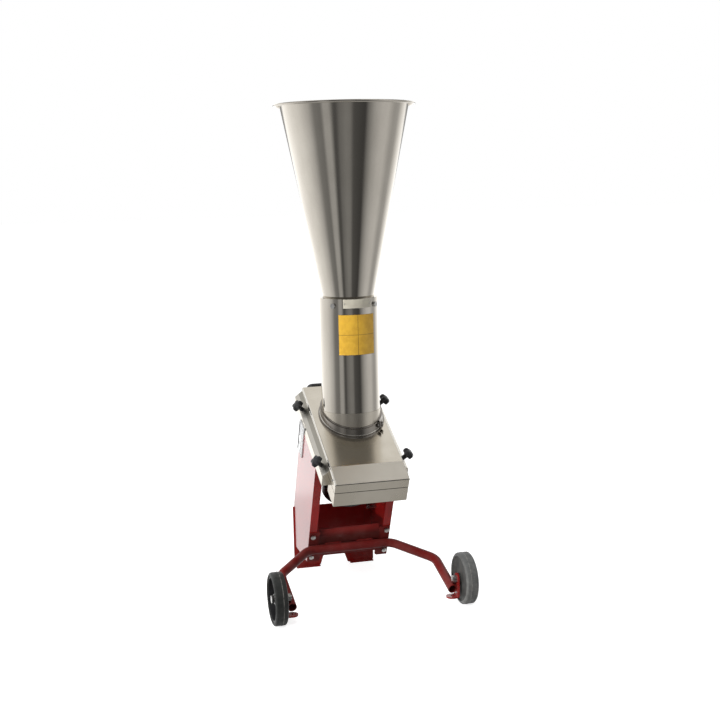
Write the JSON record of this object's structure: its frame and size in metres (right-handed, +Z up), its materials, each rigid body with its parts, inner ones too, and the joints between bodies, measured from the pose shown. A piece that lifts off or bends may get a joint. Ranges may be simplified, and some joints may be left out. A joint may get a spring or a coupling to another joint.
{
  "type": "electric fruit crusher",
  "caption": "Electric fruit crusher: tall steel hopper on a sloping knife head with motor below, red sheet frame, rear feet, front wheels on a bent bow and a discharge nose.",
  "frame": {"origin": "floor level, below the middle of the overall bounding box", "axes": "+X to the right seen from the discharge nose, +Y to the back, +Z up"},
  "size_m": [0.548, 0.5174, 1.34],
  "materials": {
    "stainless": "satin stainless sheet",
    "zinc": "bright zinc plated",
    "tool_steel": "ground steel",
    "core_steel": "stacked lamination steel",
    "red_paint": "glossy dark red paint",
    "black_paint": "semi-gloss black paint",
    "black_plastic": "moulded black plastic",
    "grey_plastic": "light grey moulded plastic",
    "white_plastic": "white plastic",
    "pale_plastic": "pale grey plastic",
    "seal_rubber": "black rubber",
    "tyre_dark": "grey-black solid rubber",
    "rim_plastic": "dark grey plastic"
  },
  "bodies": {
    "frame": {"axle_bolts": "zinc", "axle_bow": "red_paint", "axle_nuts": "zinc", "back_panel": "red_paint", "carrier_plate": "red_paint", "chute_frame": "stainless", "clamp_band": "stainless", "clamp_screw": "zinc", "collar_ring": "stainless", "discharge_chute": "stainless", "fan_cowl": "black_paint", "feed_tube": "stainless", "frame_bolts": "zinc", "frame_nuts": "zinc", "front_shield": "black_paint", "head_cover": "stainless", "hopper_bolts": "zinc", "hopper_cone": "stainless", "left_bracket": "red_paint", "left_side_plate": "red_paint", "lower_casing": "stainless", "lower_gasket": "seal_rubber", "mains_inlet": "black_plastic", "motor_bearings": "tool_steel", "motor_bolts": "zinc", "rear_handle": "black_paint", "rear_shield": "black_paint", "right_bracket": "red_paint", "right_side_plate": "red_paint", "shaft_seal": "seal_rubber", "stator_core": "core_steel", "stator_housing": "black_paint", "switch_box": "grey_plastic", "switch_lid": "grey_plastic", "terminal_box": "black_paint", "upper_gasket": "seal_rubber", "weld_nuts": "zinc", "wheel_washers": "zinc"},
    "rotor": {"motor_shaft": "tool_steel", "rotor_core": "core_steel", "knife_disc": "tool_steel", "knife_blades": "tool_steel", "disc_nut": "zinc", "cooling_fan": "black_plastic"},
    "left_wheel": {"left_tyre": "tyre_dark", "left_rim": "rim_plastic", "left_bush": "rim_plastic"},
    "right_wheel": {"right_tyre": "tyre_dark", "right_rim": "rim_plastic", "right_bush": "rim_plastic"},
    "start_button": {"start_button": "white_plastic"},
    "stop_button": {"stop_button": "pale_plastic"},
    "knob_left_rear": {"knob_left_rear": "black_plastic", "knob_stud_left_rear": "zinc"},
    "knob_left_front": {"knob_left_front": "black_plastic", "knob_stud_left_front": "zinc"},
    "knob_right_rear": {"knob_right_rear": "black_plastic", "knob_stud_right_rear": "zinc"},
    "knob_right_front": {"knob_right_front": "black_plastic", "knob_stud_right_front": "zinc"}
  },
  "joints": [
    {"name": "rotor_spin", "type": "hinge", "parent": "frame", "child": "rotor", "pos_m": [0, 0.0121, 0.40973], "axis": [0, -0.4384, 0.8988], "continuous": true},
    {"name": "left_wheel_spin", "type": "hinge", "parent": "frame", "child": "left_wheel", "pos_m": [-0.257, -0.18875, 0.07], "axis": [1, 0, 0], "continuous": true},
    {"name": "right_wheel_spin", "type": "hinge", "parent": "frame", "child": "right_wheel", "pos_m": [0.257, -0.18875, 0.07], "axis": [1, 0, 0], "continuous": true},
    {"name": "knob_left_rear_turn", "type": "hinge", "parent": "frame", "child": "knob_left_rear", "pos_m": [-0.1126, 0.11794, 0.50296], "axis": [-0.7071, -0.31, 0.6355], "continuous": true},
    {"name": "knob_left_front_turn", "type": "hinge", "parent": "frame", "child": "knob_left_front", "pos_m": [-0.1126, -0.10496, 0.39424], "axis": [-0.7071, -0.31, 0.6355], "continuous": true},
    {"name": "knob_right_rear_turn", "type": "hinge", "parent": "frame", "child": "knob_right_rear", "pos_m": [0.1126, 0.11794, 0.50296], "axis": [0.7071, -0.31, 0.6355], "continuous": true},
    {"name": "knob_right_front_turn", "type": "hinge", "parent": "frame", "child": "knob_right_front", "pos_m": [0.1126, -0.10496, 0.39424], "axis": [0.7071, -0.31, 0.6355], "continuous": true},
    {"name": "start_press", "type": "slide", "parent": "frame", "child": "start_button", "axis": [1, 0, 0], "range_m": [0, 0.002], "stiffness_N_per_m": 600, "springref_m": -0.001},
    {"name": "stop_press", "type": "slide", "parent": "frame", "child": "stop_button", "axis": [1, 0, 0], "range_m": [0, 0.002], "stiffness_N_per_m": 600, "springref_m": -0.001}
  ]
}
